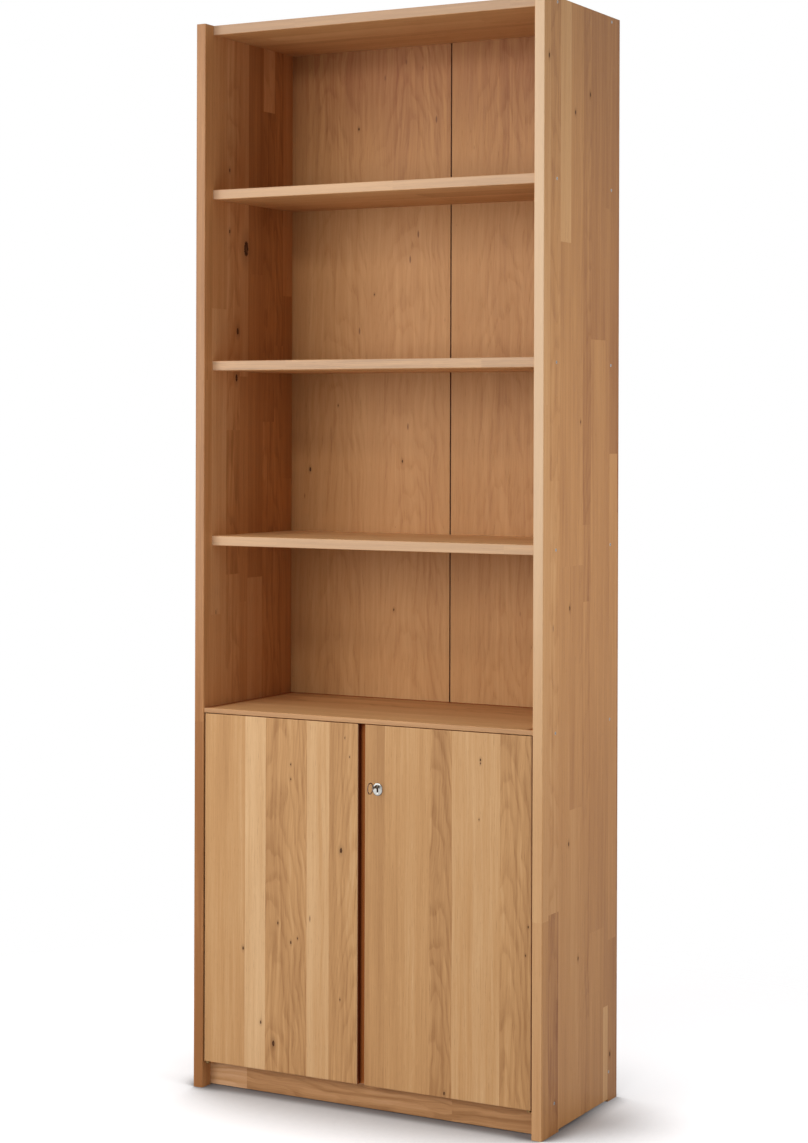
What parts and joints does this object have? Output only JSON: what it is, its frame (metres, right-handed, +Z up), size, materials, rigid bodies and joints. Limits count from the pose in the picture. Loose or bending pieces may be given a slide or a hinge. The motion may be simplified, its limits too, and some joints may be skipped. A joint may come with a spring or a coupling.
{
  "type": "bookcase with cabinet doors",
  "caption": "Tall narrow oak bookcase with open bays above and a pair of inset, lockable cabinet doors below, standing on notched sides with a set-back plinth.",
  "frame": {"origin": "centre of the base on the floor, taken over the whole object with the key standing in the lock", "axes": "+Z up, +X to the viewer's right across the width, +Y from the doors towards the back"},
  "size_m": [0.8, 0.399, 2.21],
  "materials": {
    "oak_sides": "oiled oak, vertical staves, satin",
    "oak_boards": "oiled oak, staves along the board, satin",
    "oak_back": "knotty oak panel, satin",
    "oak_doors": "oiled oak, vertical staves, satin",
    "oak_plinth": "oiled oak, finger-jointed",
    "oak_inner": "unfinished oak",
    "hinge_brass": "brushed brass",
    "hardware_steel": "zinc-plated steel",
    "nickel": "polished nickel plate",
    "key_steel": "bronzed steel, worn",
    "buffer": "soft clear-white pads"
  },
  "bodies": {
    "carcass": {"side_left": "oak_sides", "side_right": "oak_sides", "top_panel": "oak_boards", "upper_shelf": "oak_boards", "middle_shelf": "oak_boards", "lower_shelf": "oak_boards", "cabinet_top": "oak_boards", "bottom_panel": "oak_boards", "plinth": "oak_plinth", "plinth_blocks": "oak_inner", "back_panel_left": "oak_back", "back_panel_right": "oak_back", "back_spline": "oak_inner", "cabinet_shelf": "oak_boards", "shelf_pins": "hardware_steel", "door_buffers": "buffer", "side_screws_left": "hardware_steel", "side_screws_right": "hardware_steel", "left_upper_pivot_plate": "hinge_brass", "left_upper_pin": "hinge_brass", "left_lower_bracket": "hinge_brass", "left_lower_pin": "hinge_brass", "right_upper_pivot_plate": "hinge_brass", "right_upper_pin": "hinge_brass", "right_lower_bracket": "hinge_brass", "right_lower_pin": "hinge_brass", "door_bolt_keeper": "hardware_steel"},
    "left_door": {"left_door": "oak_doors", "left_upper_socket_plate": "hinge_brass", "left_lower_socket_plate": "hinge_brass", "lock_keeper": "hardware_steel", "door_bolt_plate": "hardware_steel"},
    "right_door": {"right_door": "oak_doors", "right_upper_socket_plate": "hinge_brass", "right_lower_socket_plate": "hinge_brass", "lock_case": "hardware_steel", "keyhole_escutcheon": "nickel"},
    "lock_bolt": {"lock_bolt": "hinge_brass"},
    "key": {"key": "key_steel"},
    "door_bolt": {"door_bolt": "hardware_steel"}
  },
  "joints": [
    {"name": "left_door_swing", "type": "hinge", "parent": "carcass", "child": "left_door", "pos_m": [-0.3695, -0.1515, 0.4164], "axis": [0, 0, -1], "range_deg": [0, 100]},
    {"name": "right_door_swing", "type": "hinge", "parent": "carcass", "child": "right_door", "pos_m": [0.3695, -0.1515, 0.4164], "axis": [0, 0, 1], "range_deg": [0, 100]},
    {"name": "key_turn", "type": "hinge", "parent": "right_door", "child": "key", "pos_m": [0.0355, -0.1575, 0.6555], "axis": [0, -1, 0], "range_deg": [0, 360]},
    {"name": "lock_bolt_slide", "type": "slide", "parent": "right_door", "child": "lock_bolt", "axis": [-1, 0, 0], "range_m": [0, 0.01]},
    {"name": "door_bolt_slide", "type": "slide", "parent": "left_door", "child": "door_bolt", "axis": [0, 0, 1], "range_m": [0, 0.012]}
  ],
  "couplings": [
    {"joint": "lock_bolt_slide", "follows": "key_turn", "m_per_rad": 0.00159}
  ]
}
